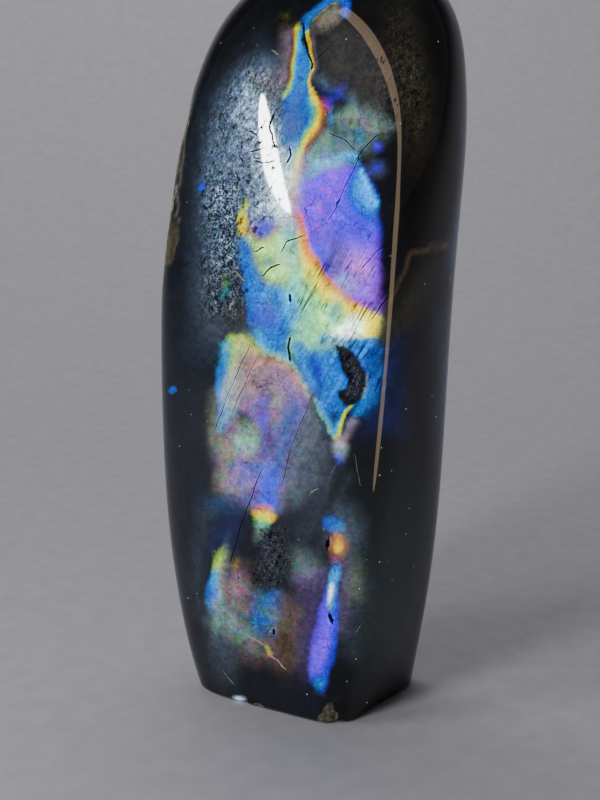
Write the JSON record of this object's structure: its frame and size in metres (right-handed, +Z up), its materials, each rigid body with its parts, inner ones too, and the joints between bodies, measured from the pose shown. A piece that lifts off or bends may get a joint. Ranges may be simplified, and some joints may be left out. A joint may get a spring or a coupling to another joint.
{
  "type": "polished labradorite freeform",
  "caption": "Tall hand-polished labradorite stone with a domed top, soft ridges and a flat sawn base that it stands on.",
  "frame": {"origin": "on the sawn base, in the middle of the stone's box seen from above", "axes": "+Z up from the sawn base to the domed top; -Y the side that the broad polished face looks towards; +X to the right of someone who looks at that face"},
  "size_m": [0.0566, 0.039, 0.1405],
  "materials": {
    "polished_labradorite": "hand polished, near black with blue, violet, gold and green flashes; rough grey-brown hollows"
  },
  "bodies": {
    "root": {"labradorite_stone": "polished_labradorite"}
  },
  "joints": []
}
